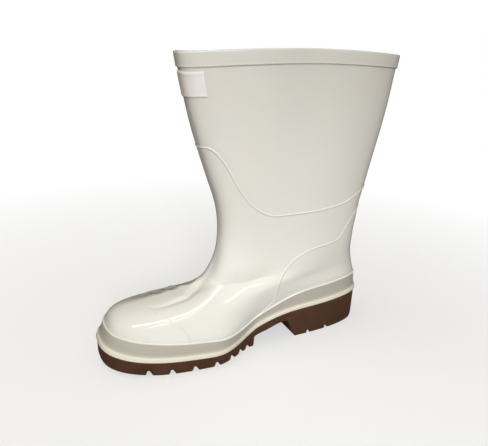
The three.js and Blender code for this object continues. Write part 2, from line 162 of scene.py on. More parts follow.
RIDGE_ROWS = (
    # name, line, steps, on both sides, closed round the boot, half-width in mm
    ("ankle_ridge", ANKLE_LINE, 170, True, True, 1.5),
    ("counter_ridge", COUNTER_LINE, 150, True, False, 1.4),
    ("toe_cap_ridge", TOE_LINE, 90, True, False, 1.4),
    ("front_parting_line", FRONT_PARTING, 160, False, False, 0.8),
    ("back_parting_line", BACK_PARTING, 160, False, False, 0.8),
)

# Soft forms of the wall: each a path of ring, angle, half-width and height in mm
RELIEF_PATHS = {
    "inner trough": (
        (8.70, 3.03, 7.0, -0.6), (7.27, 3.00, 6.0, -2.0), (6.36, 2.78, 5.0, -2.4),
        (5.18, 2.52, 3.6, -2.0), (4.75, 2.53, 3.0, -1.5), (4.35, 2.57, 2.6, -1.1),
        (4.06, 2.63, 2.4, -0.7), (3.98, 2.78, 2.2, -0.2),
    ),
    "outer trough": (
        (8.40, 3.30, 7.0, -0.5), (7.40, 3.36, 6.0, -1.2), (6.40, 3.56, 5.0, -1.2),
        (5.20, 3.80, 4.0, -0.8), (4.50, 3.90, 3.0, -0.3),
    ),
    "inner shoulder": (
        (10.2, 2.86, 8.0, 0.0), (9.20, 2.78, 8.0, 1.2), (8.09, 2.68, 8.0, 2.4),
        (7.00, 2.47, 8.0, 2.8), (5.82, 2.31, 8.0, 2.8), (5.00, 2.20, 8.0, 2.3),
        (4.19, 2.14, 8.0, 1.6), (3.34, 2.18, 7.0, 1.2), (2.75, 2.32, 7.0, 1.0),
        (2.27, 2.49, 7.0, 1.0), (2.00, 2.64, 7.0, 0.6), (1.80, 2.85, 7.0, 0.0),
    ),
}
INSTEP_MOUNDS = (
    # ring, angle, half-width and height in mm
    (8.60, 2.46, 18.0, 0.8), (7.60, 2.26, 18.0, 3.4), (6.95, 2.02, 18.0, 1.7), (6.70, 1.76, 18.0, 1.9),
)

# Short wrinkles across the crest of the instep
WRINKLE_ROWS = (
    # share of the length, slant, half-width and height in mm
    (0.800, 4.0, 2.8, 0.40), (0.756, 3.0, 2.8, 0.70), (0.706, 1.0, 3.0, 0.90),
    (0.648, -1.0, 3.4, 0.80),
    (0.778, 3.5, 2.6, -0.30), (0.731, 2.0, 2.8, -0.45), (0.677, 0.0, 3.0, -0.45),
)

# Colours of the finishes
WHITE_COOL = (0.735, 0.732, 0.690)
WHITE_WARM = (0.750, 0.730, 0.680)
# Foxing band: its own duller tone, darkened further with painted shade for the less light the low band gets
# near the floor
FOXING_TONE_AND_SHADE = (0.49, 0.46, 0.405)
LIP_IVORY = (0.83, 0.79, 0.66)
BROWN_DARK = (0.066, 0.029, 0.017)
BROWN_PALE = (0.086, 0.040, 0.024)
BROWN_DUST = (0.15, 0.095, 0.065)
KNIT_SHADE = (0.60, 0.57, 0.51)
KNIT_PALE = (0.68, 0.65, 0.59)
KNIT_LOW = (0.50, 0.47, 0.42)
PLATE_SHADE = (0.85, 0.83, 0.81)
PLATE_PALE = (0.88, 0.86, 0.85)

# Studio: colours of floor and room, places in metres, angles in degrees
FLOOR_PALE = (0.88, 0.88, 0.88)
FLOOR_REACH = 12.0
FLOOR_BOUNCE = (0.17, 0.14, 0.11)
BACKDROP = (1.0, 1.0, 1.0)
ROOM_LOW = (0.07, 0.065, 0.055)
ROOM_HIGH = (0.36, 0.345, 0.30)
LAMP_ROWS = (
    # name, place, target, size, power, colour, lights matte, shows in gloss
    ("overhead_box", (0.0, -0.7, 1.7), (0, 0, 0.1), (1.4, 1.2), 8.0, (1.0, 0.94, 0.82), True, False),
    ("camera_side_box", (1.7, -0.7, 0.9), (0, 0, 0.15), (1.2, 1.2), 21, (1.0, 0.985, 0.96), True, False),
    ("ceiling_tube", (0.4, -0.3, 1.8), (0.4, -0.3, 0), (0.18, 1.6), 10, (1.0, 0.98, 0.94), False, True),
    ("second_tube", (1.15, -0.2, 1.8), (1.15, -0.2, 0), (0.12, 1.0), 5, (1.0, 0.99, 0.97), False, True),
)

# A wide soft lamp on the ankle
SPOT_PLACE = (1.3, -0.35, 0.60)
SPOT_TARGET = (0.04, 0.0, 0.10)
SPOT_ANGLE = 16.0
SPOT_POWER = 80.0
SPOT_COLOUR = (0.93, 0.97, 1.0)
SPOT_RADIUS = 0.2

# The photograph's view: place aimed at in mm, and the lens in pixels of a picture 488 wide
CAMERA_AZIMUTH = 63.813
CAMERA_ELEVATION = 19.999
CAMERA_ROLL = 2.5
CAMERA_TARGET = (-11.272, -136.093, 115.026)
CAMERA_DISTANCE = 543.962
LENS_PIXELS = 540.0
PICTURE_WIDTH = 488.0
SENSOR_WIDTH = 36.0


def spline(places, values, at):
    """Natural cubic spline through values at places: between two places the line joining them plus
    (a^3 - a) and (b^3 - b) times the bends there, which solve one linear system."""
    width = np.diff(places)
    count = len(places)
    slope = np.diff(values, axis=0) / (width if values.ndim == 1 else width[:, None])
    matrix = np.eye(count)
    right = np.zeros(values.shape)
    for k in range(1, count - 1):
        matrix[k, k - 1:k + 2] = width[k - 1], 2 * (width[k - 1] + width[k]), width[k]
        right[k] = 6 * (slope[k] - slope[k - 1])
    bend = np.linalg.solve(matrix, right)
    k = np.clip(np.searchsorted(places, at) - 1, 0, count - 2)
    step = width[k]
    a = (places[k + 1] - at) / step
    b = (at - places[k]) / step
    if values.ndim > 1:
        a, b, step = a[..., None], b[..., None], step[..., None]
    curve = ((a ** 3 - a) * bend[k] + (b ** 3 - b) * bend[k + 1]) * step ** 2 / 6
    return a * values[k] + b * values[k + 1] + curve


def smooth(value):
    """3 t^2 - 2 t^3 with t held between 0 and 1."""
    value = np.clip(value, 0, 1)
    return value * value * (3 - 2 * value)


def welt_height(u):
    """Height of the joint with the sole at a distance from the heel: a spline through its rows."""
    share = np.clip(np.asarray(u, float) / BOOT_LENGTH, 0, 1)
    return HEEL_HEIGHT * spline(WELT_ROWS[:, 0], WELT_ROWS[:, 1], share)


def foxing_span(u):
    """Height of the foxing band at a distance from the heel: a spline through its rows."""
    share = np.clip(np.asarray(u, float) / BOOT_LENGTH, 0, 1)
    return FOXING_HEIGHT * spline(FOXING_ROWS[:, 0], FOXING_ROWS[:, 1], share)


def middle(u):
    """Sideways place of the foot's middle line, which swings to the inner side as a square."""
    return SWING * (np.clip((u / BOOT_LENGTH - 0.25) / 0.75, 0, 1) ** 2 - 0.3)


def plain_upper(ring, angle):
    """A point of the smooth upper. The ring picks a row of the table by splines; the angle runs once
    round it, a half-breadth times (1 - |q|^n)^(1/n) to each side, with q from -1 behind to 1 in front."""
    ring, angle = np.broadcast_arrays(np.asarray(ring, float), np.asarray(angle, float))
    row = spline(np.arange(TOP_RING + 1.0), RINGS, ring)
    front, front_up, back, back_up, ball, waist, heel, nose, tail = np.moveaxis(row, -1, 0)
    share = (1 - np.cos(angle)) / 2
    across = 2 * share - 1
    power = np.where(across > 0, nose, tail)
    fullness = np.maximum(0, 1 - np.abs(across) ** power) ** (1 / power)
    to_waist = smooth((share - 0.16) / 0.28)
    low = 1 - smooth((ring - 1) / 5)
    to_ball = smooth((share - 0.44 - 0.02 * low) / (0.28 - 0.08 * low))
    half = heel + (waist - heel) * to_waist + (ball - waist) * to_ball
    u = back + share * (front - back)
    level = back_up + share * (front_up - back_up)
    low_line = RINGS[0, 3] + share * (RINGS[0, 1] - RINGS[0, 3])
    high_line = RINGS[1, 3] + share * (RINGS[1, 1] - RINGS[1, 3])
    low_bend = welt_height(u) - low_line
    high_bend = welt_height(u) + foxing_span(u) - high_line
    fade = 1 - smooth((ring - 1) / FOXING_FADE)
    bend = np.where(ring < 1, low_bend + (high_bend - low_bend) * np.clip(ring, 0, 1), high_bend * fade)
    side = np.where(np.sin(angle) >= 0, 1.0, -1.0)
    rise = np.where(side > 0, RIM_ARCH, OUTER_RIM_ARCH - OUTER_RIM_TWIST * across)
    arch = rise * smooth((ring - TOP_RING + 5) / 5) * (1 - across ** 2)
    instep = smooth((ring - 1.8) / 2.6) * (1 - smooth((ring - 4.5) / 4)) * smooth((share - 0.25) / 0.35)
    drop = np.where(side < 0, OUTER_DROP * instep * smooth(1.2 * np.abs(np.sin(angle))), 0)
    straighten = 1 - smooth((ring - 3) / 6)
    return np.stack([middle(u) * straighten + side * half * fullness, -u, level + bend + arch - drop], -1)


def unit(vectors):
    """Vectors divided by their lengths."""
    return vectors / np.maximum(np.linalg.norm(vectors, axis=-1, keepdims=True), 1e-12)


def outward(ring, angle):
    """Outward direction of the smooth upper: the cross product of its two small differences."""
    d = 0.04
    up = plain_upper(np.minimum(TOP_RING, ring + d), angle) - plain_upper(np.maximum(0, ring - d), angle)
    around = plain_upper(ring, angle + d) - plain_upper(ring, angle - d)
    return unit(np.cross(up, around))


def soft_forms(points):
    """Height of the soft forms at points in mm. Along each straight piece of a path the height and width
    run evenly from one row to the next; across it the height is that times exp(-(d / width)^2). Where
    two pieces of a path reach a point, the stronger one counts. The paths add up, and so do the round
    mounds of the instep's side, each a bell of the distance from its middle."""
    height = np.zeros(points.shape[:-1])
    for path in RELIEF_PATHS.values():
        strongest = np.zeros(points.shape[:-1])
        for first, second in zip(path[:-1], path[1:]):
            start = plain_upper(first[0], first[1])
            line = plain_upper(second[0], second[1]) - start
            along = np.clip(((points - start) @ line) / (line @ line), 0, 1)
            apart = np.linalg.norm(points - start - along[..., None] * line, axis=-1)
            width = first[2] + along * (second[2] - first[2])
            tall = first[3] + along * (second[3] - first[3])
            here = tall * np.exp(-(apart / width) ** 2)
            strongest = np.where(np.abs(here) > np.abs(strongest), here, strongest)
        height += strongest
    for ring, angle, width, tall in INSTEP_MOUNDS:
        apart = np.linalg.norm(points - plain_upper(ring, angle), axis=-1)
        height += tall * np.exp(-(apart / width) ** 2)
    return height


def wrinkles(ring, angle, points):
    """Height of the wrinkles in mm: each is a bell across its line, height times exp(-(d / width)^2),
    with d the distance along the boot from a slanted line, held to the crest by two soft windows."""
    round_crest = (angle % (2 * np.pi)) - np.pi
    window = smooth((0.62 - np.abs(round_crest - 0.58)) / 0.30)
    window = window * smooth((ring - 2.6) / 1.0) * smooth((8.0 - ring) / 1.2)
    height = np.zeros(points.shape[:-1])
    for share, slant, width, tall in WRINKLE_ROWS:
        apart = -points[..., 1] - share * BOOT_LENGTH - slant * round_crest
        height += tall * np.exp(-(apart / width) ** 2)
    return height * window


def swells(points):
    """Height of the broad waves that a rubber wall keeps from its mould: a sum of long sines in mm."""
    x, y, z = np.moveaxis(points, -1, 0)
    wave = 0.22 * np.sin(y / 21 + z / 34) + 0.16 * np.sin(z / 17 - y / 45 + x / 30)
    return wave * smooth((z - 70) / 40) * smooth((268 - z) / 30)


def upper(ring, angle, out):
    """A point held off the upper by out mm along its outward direction, creases and swells included."""
    ring, angle = np.broadcast_arrays(np.asarray(ring, float), np.asarray(angle, float))
    points = plain_upper(ring, angle)
    relief = soft_forms(points) + wrinkles(ring, angle, points) + swells(points)
    return points + outward(ring, angle) * (out + relief)[..., None]


def on_welt(angle, out, lift):
    """A point at the foot of the upper, out mm off its wall and lift mm above the joint with the sole."""
    ring = np.zeros_like(angle)
    points = plain_upper(ring, angle) + outward(ring, angle) * np.asarray(out)[..., None]
    points[..., 2] = welt_height(-points[..., 1]) + lift
    return points


def turn(count):
    """Angles once round, from the back past the inner side and the toe."""
    return np.linspace(0, 2 * np.pi, count, endpoint=False)


# Meshes
def frame_shift():
    """What carries the surfaces above, whose origin is the back of the heel, to the boot's own origin: the
    middle of the solid's box less the middle of the box round the rim and the lip."""
    count = 720
    top = np.full(count, float(TOP_RING))
    rim = plain_upper(top, turn(count))
    rim += outward(top, turn(count)) * COLLAR_PROUD
    foot = on_welt(turn(count), np.full(count, LIP_PROUD), GAP)
    both = np.concatenate([rim, foot]) * MM
    centre = (both.max(0) + both.min(0)) / 2
    low, high = (np.array(corner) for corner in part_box("upper"))
    wanted = (low + high) / 2
    return np.array((wanted[0] - centre[0], wanted[1] - centre[1], 0))


SHIFT = frame_shift()


def make_piece(name, points, faces, material, node):
    """A mesh object from points in mm and four-cornered faces, riding on the boot."""
    mesh = bpy.data.meshes.new(name)
    flat = (points.reshape(-1, 3) * MM + SHIFT).astype(np.float32)
    mesh.vertices.add(len(flat))
    mesh.vertices.foreach_set("co", flat.ravel())
    mesh.loops.add(faces.size)
    mesh.loops.foreach_set("vertex_index", faces.ravel().astype(np.int32))
    mesh.polygons.add(len(faces))
    mesh.polygons.foreach_set("loop_start", np.arange(0, faces.size, 4, dtype=np.int32))
    mesh.polygons.foreach_set("loop_total", np.full(len(faces), 4, dtype=np.int32))
    mesh.polygons.foreach_set("use_smooth", np.ones(len(faces), dtype=bool))
    mesh.update(calc_edges=True)
    mesh.validate()
    mesh.materials.append(material)
    piece = bpy.data.objects.new(name, mesh)
    bpy.context.scene.collection.objects.link(piece)
    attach(piece, "root")
    if node:
        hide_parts(node)
    return piece


def grid_faces(rows, columns, close_rows, close_columns):
    """Faces between neighbouring points of a grid, also from its last row or column back to its first."""
    r = np.arange(rows if close_rows else rows - 1)
    c = np.arange(columns if close_columns else columns - 1)
    row, column = np.meshgrid(r, c, indexing="ij")
    next_row = (row + 1) % rows
    next_column = (column + 1) % columns
    corners = (row * columns + column, next_row * columns + column,
               next_row * columns + next_column, row * columns + next_column)
    return np.stack(corners, -1).reshape(-1, 4)


def set_value(piece, name, values):
    """A number on each vertex, for the material to read."""
    attribute = piece.data.attributes.new(name, "FLOAT", "POINT")
    attribute.data.foreach_set("value", values.ravel().astype(np.float32))


def closed_sheet(name, outer, inner, looped, material, node):
    """A thin closed body between two grids of the same size. Their side edges are joined, and so are their
    ends, or the last row meets the first where the body is looped."""
    rows, columns = outer.shape[:2]
    count = 2 * columns
    loops = np.concatenate([outer, inner[:, ::-1]], axis=1)
    faces = grid_faces(rows, count, looped, True)
    if not looped:
        k = np.arange(columns - 1)
        low = np.stack((k, k + 1, count - 2 - k, count - 1 - k), -1)
        high = np.stack((k, count - 1 - k, count - 2 - k, k + 1), -1) + (rows - 1) * count
        faces = np.concatenate([faces, low, high])
    return make_piece(name, loops, faces, material, node)


# Node groups and materials
def new_group(name, inputs, outputs):
    """An empty shader group with named number inputs and outputs."""
    group = bpy.data.node_groups.new(name, "ShaderNodeTree")
    for label, value in inputs:
        socket = group.interface.new_socket(label, in_out="INPUT", socket_type="NodeSocketFloat")
        socket.default_value = value
    for label in outputs:
        group.interface.new_socket(label, in_out="OUTPUT", socket_type="NodeSocketFloat")
    return group, group.nodes.new("NodeGroupInput"), group.nodes.new("NodeGroupOutput")


def noise(tree, vector, scale, detail, roughness):
    """A noise texture on given coordinates."""
    node = tree.nodes.new("ShaderNodeTexNoise")
    node.inputs["Detail"].default_value = detail
    node.inputs["Roughness"].default_value = roughness
    tree.links.new(vector, node.inputs["Vector"])
    if hasattr(scale, "is_linked"):
        tree.links.new(scale, node.inputs["Scale"])
    else:
        node.inputs["Scale"].default_value = scale
    return node.outputs["Fac"]


def maths(tree, operation, first, second):
    """One arithmetic step between two sockets or numbers."""
    node = tree.nodes.new("ShaderNodeMath")
    node.operation = operation
    for socket, value in zip(node.inputs, (first, second)):
        if hasattr(value, "is_linked"):
            tree.links.new(value, socket)
        else:
            socket.default_value = value
    return node.outputs[0]


def map_range(tree, value, low, high, to_low, to_high):
    """A value carried from one span to another, and held inside it."""
    node = tree.nodes.new("ShaderNodeMapRange")
    for label, number in (("From Min", low), ("From Max", high), ("To Min", to_low), ("To Max", to_high)):
        node.inputs[label].default_value = number
    tree.links.new(value, node.inputs["Value"])
    return node.outputs["Result"]


def mix_colour(tree, factor, first, second):
    """A mix of two colours by a mask."""
    node = tree.nodes.new("ShaderNodeMix")
    node.data_type = "RGBA"
    tree.links.new(factor, node.inputs["Factor"])
    for label, value in (("A", first), ("B", second)):
        socket = next(s for s in node.inputs if s.name == label and s.type == "RGBA")
        if hasattr(value, "is_linked"):
            tree.links.new(value, socket)
        else:
            socket.default_value = (*value, 1)
    return next(s for s in node.outputs if s.type == "RGBA")


def object_place(tree):
    """Object coordinates, in metres."""
    return tree.nodes.new("ShaderNodeTexCoord").outputs["Object"]


def build_smudge_group():
    """Soft blotches and finer specks: two noises, one long and one short, stretched to 0 to 1."""
    group, given, result = new_group("soft_smudges", [("Size", 30.0), ("Speck Size", 260.0)],
                                     ["Blotches", "Specks"])
    place = object_place(group)
    blotch = noise(group, place, given.outputs["Size"], 3.0, 0.55)
    speck = noise(group, place, given.outputs["Speck Size"], 2.0, 0.6)
    group.links.new(map_range(group, blotch, 0.35, 0.65, 0.0, 1.0), result.inputs["Blotches"])
    group.links.new(map_range(group, speck, 0.55, 0.75, 0.0, 1.0), result.inputs["Specks"])
    return group


def build_skin_group():
    """Height of a moulded rubber skin: long shallow waves and a fine pebble, each with its own amount."""
    group, given, result = new_group("moulded_skin", [("Wave", 1.0), ("Pebble", 1.0), ("Pebble Size", 900.0)],
                                     ["Height"])
    place = object_place(group)
    wave = maths(group, "MULTIPLY", noise(group, place, 38.0, 2.0, 0.5), given.outputs["Wave"])
    pebble = noise(group, place, given.outputs["Pebble Size"], 2.0, 0.5)
    pebble = maths(group, "MULTIPLY", pebble, given.outputs["Pebble"])
    group.links.new(maths(group, "ADD", wave, pebble), result.inputs["Height"])
    return group


SMUDGES = build_smudge_group()
SKIN = build_skin_group()


def new_material(name):
    """A material with its Principled shader, ready for links."""
    material = bpy.data.materials.new(name)
    material.use_nodes = True
    tree = material.node_tree
    shader = next(node for node in tree.nodes if node.type == "BSDF_PRINCIPLED")
    return material, tree, shader


def group_node(tree, group, values):
    """A shared group placed in a material with its own numbers."""
    node = tree.nodes.new("ShaderNodeGroup")
    node.node_tree = group
    for label, value in values.items():
        node.inputs[label].default_value = value
    return node


def bump(tree, shader, height, strength, distance):
    """A height fed to the shader's normal through a Bump node."""
    node = tree.nodes.new("ShaderNodeBump")
    node.inputs["Strength"].default_value = strength
    node.inputs["Distance"].default_value = distance
    tree.links.new(height, node.inputs["Height"])
    tree.links.new(node.outputs["Normal"], shader.inputs["Normal"])


def glossy_white_rubber():
    """Glossy off-white moulding with warmer blotches, a duller pebbled foxing band and an ivory lip. The
    foxing band's darker colour is partly its own tone and partly painted shade of the low band near the
    floor. The two zones come from the piece's own numbers, foxing and lip."""
    material, tree, shader = new_material("glossy_white_rubber")
    smudge = group_node(tree, SMUDGES, {"Size": 14.0, "Speck Size": 300.0})
    zones = {}
    for name in ("foxing", "lip"):
        zone = tree.nodes.new("ShaderNodeAttribute")
        zone.attribute_name = name
        zones[name] = zone.outputs["Fac"]
    tint = mix_colour(tree, smudge.outputs["Blotches"], WHITE_COOL, WHITE_WARM)
    # The foxing band takes a darker colour: its own tone plus painted shade
    banded = mix_colour(tree, zones["foxing"], tint, FOXING_TONE_AND_SHADE)
    colour = mix_colour(tree, zones["lip"], banded, LIP_IVORY)
    tree.links.new(colour, shader.inputs["Base Color"])
    shine = map_range(tree, smudge.outputs["Blotches"], 0.0, 1.0, 0.06, 0.09)
    matter = maths(tree, "SUBTRACT", zones["foxing"], zones["lip"])
    dull = maths(tree, "MULTIPLY", maths(tree, "MAXIMUM", matter, 0.0), 0.30)
    tree.links.new(maths(tree, "ADD", shine, dull), shader.inputs["Roughness"])
    skin = group_node(tree, SKIN, {"Wave": 0.6, "Pebble": 0.012, "Pebble Size": 700.0})
    grain = maths(tree, "MULTIPLY", noise(tree, object_place(tree), 1400.0, 1.0, 0.5), zones["foxing"])
    height = maths(tree, "ADD", skin.outputs["Height"], maths(tree, "MULTIPLY", grain, 0.22))
    bump(tree, shader, height, 0.35, 0.0006)
    tree.links.new(map_range(tree, zones["foxing"], 0.0, 1.0, 0.25, 0.0), shader.inputs["Coat Weight"])
    shader.inputs["Coat Roughness"].default_value = 0.05
    shader.inputs["IOR"].default_value = 1.5
    return material


def brown_sole_rubber():
    """Dark brown rubber, satin, in two shades of brown by soft blotches, with pale specks of dust."""
    material, tree, shader = new_material("brown_sole_rubber")
    smudge = group_node(tree, SMUDGES, {"Size": 60.0, "Speck Size": 380.0})
    tint = mix_colour(tree, smudge.outputs["Blotches"], BROWN_DARK, BROWN_PALE)
    dust = maths(tree, "MULTIPLY", smudge.outputs["Specks"], 0.35)
    tree.links.new(mix_colour(tree, dust, tint, BROWN_DUST), shader.inputs["Base Color"])
    shine = map_range(tree, smudge.outputs["Blotches"], 0.0, 1.0, 0.42, 0.58)
    tree.links.new(shine, shader.inputs["Roughness"])
    skin = group_node(tree, SKIN, {"Wave": 0.4, "Pebble": 0.5, "Pebble Size": 1300.0})
    bump(tree, shader, skin.outputs["Height"], 0.45, 0.0005)
    return material


def knitted_lining():
    """Off-white knitted lining: fine waves along the boot's breadth times fine waves along its height, and
    a little fuzz."""
    material, tree, shader = new_material("knitted_lining")
    place = object_place(tree)
    waves = []
    for direction in ("X", "Z"):
        wave = tree.nodes.new("ShaderNodeTexWave")
        wave.bands_direction = direction
        wave.inputs["Scale"].default_value = 260.0
        wave.inputs["Distortion"].default_value = 1.2
        tree.links.new(place, wave.inputs["Vector"])
        waves.append(wave.outputs["Fac"])
    knit = maths(tree, "MULTIPLY", waves[0], waves[1])
    smudge = group_node(tree, SMUDGES, {"Size": 26.0, "Speck Size": 500.0})
    tint = mix_colour(tree, smudge.outputs["Blotches"], KNIT_SHADE, KNIT_PALE)
    shade = mix_colour(tree, knit, tint, KNIT_LOW)
    tree.links.new(shade, shader.inputs["Base Color"])
    shader.inputs["Roughness"].default_value = 0.9
    shader.inputs["Sheen Weight"].default_value = 0.2
    bump(tree, shader, knit, 0.5, 0.0004)
    return material


def satin_white_plate():
    """The bare plate's skin: a flat clean white, duller than the boot."""
    material, tree, shader = new_material("satin_white_plate")
    smudge = group_node(tree, SMUDGES, {"Size": 60.0, "Speck Size": 600.0})
    tint = mix_colour(tree, smudge.outputs["Blotches"], PLATE_SHADE, PLATE_PALE)
    tree.links.new(tint, shader.inputs["Base Color"])
    shine = map_range(tree, smudge.outputs["Specks"], 0.0, 1.0, 0.34, 0.46)
    tree.links.new(shine, shader.inputs["Roughness"])
    skin = group_node(tree, SKIN, {"Wave": 0.2, "Pebble": 0.15, "Pebble Size": 1600.0})
    bump(tree, shader, skin.outputs["Height"], 0.3, 0.0003)
    return material


WHITE = glossy_white_rubber()
BROWN = brown_sole_rubber()
LINING = knitted_lining()
PLATE = satin_white_plate()


# Upper
def foxing_step(mm):
    """Offset near the top edge of the foxing band, mm above it: the band's thickness up to a rounded
    ledge, and a fine bead just below the edge."""
    band = FOXING_PROUD * (1 - smooth((mm + 0.35) / 0.9))
    return band + 0.42 * np.exp(-((mm + 0.75) / 0.5) ** 2)


def lip_step(mm):
    """Offset mm above the joint with the sole: the lip's face with rounded corners, then a hollow curve
    from the lip into the foxing band."""
    step = LIP_PROUD - FOXING_PROUD
    corner = 0.7 * np.clip(1 - mm / 0.8, 0, 1) ** 2 + 0.25 * np.clip((mm - LIP_HEIGHT + 1.2) / 1.2, 0, 1) ** 2
    flare = (1 - np.clip((mm - LIP_HEIGHT) / LIP_FLARE, 0, 1)) ** 2
    return FOXING_PROUD + step * flare - corner * flare


def collar_step(mm):
    """Offset of the collar band mm below the rim: its thickness, slightly crowned, down to a ledge."""
    band = COLLAR_PROUD * smooth((COLLAR_HEIGHT + 0.7 - mm) / 1.3)
    crown = 0.25 * np.clip(1 - ((mm - COLLAR_HEIGHT / 2) / (COLLAR_HEIGHT / 2)) ** 2, 0, 1)
    roll = 0.25 * np.exp(-((mm - COLLAR_HEIGHT + 0.9) / 0.8) ** 2)
    return band + crown + roll


def build_upper():
    """Rings from the joint with the sole up the outer wall, over the rim and down the inner wall. Each
    ring has a place in the table and an offset: the foxing and collar steps, a rounded rim, the wall."""
    angle = turn(AROUND)
    ones = np.ones(AROUND)
    span = foxing_span(-plain_upper(0 * ones, angle)[:, 1])
    above = np.linalg.norm(plain_upper(1.5 * ones, angle) - plain_upper(ones, angle), axis=-1) / 0.5
    climb = np.linalg.norm(plain_upper(TOP_RING * ones, angle)
                           - plain_upper((TOP_RING - 0.4) * ones, angle), axis=-1) / 0.4
    rings, outs = [], []
    for mm in np.concatenate([np.linspace(0, 1, 6), np.linspace(1.5, 2.8, 4), np.linspace(3, 7, 17)]):
        rings.append(mm / span)
        outs.append(lip_step(mm) * ones)
    for share in np.linspace(0.0, 1.0, 7):
        rings.append((7.5 + share * (span - 11)) / span)
        outs.append(FOXING_PROUD * ones)
    for mm in np.linspace(-2.6, 1.8, 23):
        rings.append(1 + mm / np.where(mm < 0, span, above))
        outs.append(foxing_step(mm) * ones)
    low = 1 + 2.1 / above
    high = TOP_RING - (COLLAR_HEIGHT + 3.0) / climb
    path = np.concatenate([np.linspace(1.3, 11.0, 108), np.linspace(11.04, 15.7, 92)])
    for place in (path - path[0]) / (path[-1] - path[0]):
        rings.append(low + place * (high - low))
        outs.append(0 * ones)
    for mm in np.concatenate([np.linspace(COLLAR_HEIGHT + 2.4, COLLAR_HEIGHT - 2.4, 13),
                              np.linspace(COLLAR_HEIGHT - 3.5, 1.6, 6)]):
        rings.append(TOP_RING - mm / climb)
        outs.append(collar_step(mm) * ones)
    for bend in np.linspace(0, np.pi / 2, 6):
        rings.append(TOP_RING - RIM_ROUNDING * (1 - np.sin(bend)) / climb)
        outs.append((collar_step(RIM_ROUNDING) - RIM_ROUNDING * (1 - np.cos(bend))) * ones)
    for bend in np.linspace(np.pi / 2, 0, 6):
        rings.append(TOP_RING - RIM_ROUNDING * (1 - np.sin(bend)) / climb)
        outs.append((-WALL + RIM_ROUNDING * (1 - np.cos(bend))) * ones)
    for ring in np.concatenate([TOP_RING - np.array((0.08, 0.3)), np.linspace(15.4, 1.0, 34), (0.5,)]):
        rings.append(ring * ones)
        outs.append(-WALL * ones)
    rings, outs = np.stack(rings), np.stack(outs)
    points = upper(rings, angle[None, :], outs)
    foot = np.clip(1 - rings * span / 3, 0, 1)[..., None]
    joint = on_welt(angle, FOXING_PROUD * ones, 0)
    points[..., 2] += foot[..., 0] * (GAP + (joint[:, 2] - points[0, :, 2])[None, :])
    foot_in = on_welt(angle, -WALL * ones, GAP)
    points = np.concatenate([points, foot_in[None]])
    rings = np.concatenate([rings, [0 * ones]])
    outs = np.concatenate([outs, [-WALL * ones]])
    faces = grid_faces(len(points), AROUND, True, True)
    piece = make_piece("boot_upper", points, faces, WHITE, "upper")
    below_edge = (1 - rings) * span
    above_joint = rings * span
    outside = outs > 0.05
    set_value(piece, "foxing", np.where(outside, smooth((below_edge - 0.9) / 0.7), 0))
    set_value(piece, "lip", np.where(outside, smooth((LIP_HEIGHT + 1.5 - above_joint) / 2.0), 0))
    return piece


def build_ridge(name, rows, steps, both, closed, half_width):
    """A raised line carried along splines of the table's rows: across it the height is a bell,
    h (1 - t^2)^2, whose feet lie just under the wall. A line on both sides is mirrored about the boot's
    middle and joined to its mirror image where it reaches the front or the back."""
    place = np.arange(len(rows), dtype=float)
    path = spline(place, rows, np.linspace(0, len(rows) - 1, steps))
    share, ring, tall = path[:, 0], path[:, 1], path[:, 2]
    angle = np.arccos(1 - 2 * np.clip(share, 0, 1))
    if both:
        start = 1 if closed or share[0] > 0.99 or share[0] < 0.01 else 0
        end = -1 if share[-1] > 0.99 or share[-1] < 0.01 else None
        forward = np.stack([angle, ring, tall], 1)
        mirrored = np.stack([-angle, ring, tall], 1)[start:end][::-1]
        if share[-1] > 0.5:
            mirrored[:, 0] += 2 * np.pi
        angle, ring, tall = np.concatenate([forward, mirrored]).T
    centre = upper(ring, angle, np.zeros_like(ring))
    normal = outward(ring, angle)
    if closed:
        along = np.roll(centre, -1, 0) - np.roll(centre, 1, 0)
    else:
        along = np.gradient(centre, axis=0)
    aside = unit(np.cross(normal, unit(along)))
    t = np.linspace(-1, 1, 11)
    bell = (1 - t * t) ** 2
    height = tall[:, None] * bell - 0.12 * (1 - bell)
    breadth = aside[:, None] * (t * half_width)[None, :, None]
    outer = centre[:, None] + breadth + normal[:, None] * height[..., None]
    inner = outer - normal[:, None] * (height + 0.5)[..., None]
    return closed_sheet(name, outer, inner, closed, WHITE, None)


def build_plate():
    """The bare plate: a grid on the front of the shaft whose height is a flat top with a soft edge and
    a fine raised frame just inside it."""
    high, wide = 61, 121
    climb = (plain_upper(TOP_RING, np.pi)[2] - plain_upper(TOP_RING - 0.5, np.pi)[2]) / 0.5
    top = TOP_RING - (COLLAR_HEIGHT + PLATE_BELOW_COLLAR) / climb
    bottom = TOP_RING - (COLLAR_HEIGHT + PLATE_BELOW_COLLAR + PLATE_HEIGHT) / climb
    ring = np.linspace(bottom, top, high)[:, None]
    sweep = np.linspace(0, 1, 600)
    walked = plain_upper((bottom + top) / 2, np.pi - sweep)
    walked = np.linalg.norm(np.diff(walked, axis=0), axis=1).cumsum()
    reach = sweep[1 + np.searchsorted(walked, PLATE_WIDTH / 2)]
    angle = np.pi + reach * np.linspace(-1, 1, wide)[None, :]
    points = upper(ring, angle, np.zeros((high, wide)))
    side = np.linalg.norm(np.diff(points, axis=1), axis=-1).cumsum(1)
    side = np.concatenate([np.zeros((high, 1)), side], 1)
    from_side = np.minimum(side, side[:, -1:] - side)
    up = np.linspace(0, PLATE_HEIGHT, high)[:, None]
    edge = np.minimum(from_side, np.minimum(up, PLATE_HEIGHT - up))
    top_out = GAP + PLATE_THICK * smooth((edge + 0.25) / 0.9) + 0.22 * np.exp(-((edge - 1.9) / 0.45) ** 2)
    normal = outward(ring, angle)
    outer = points + normal * top_out[..., None]
    inner = points - normal * 0.2
    return closed_sheet("bare_front_plate", outer, inner, False, PLATE, "front_plate")


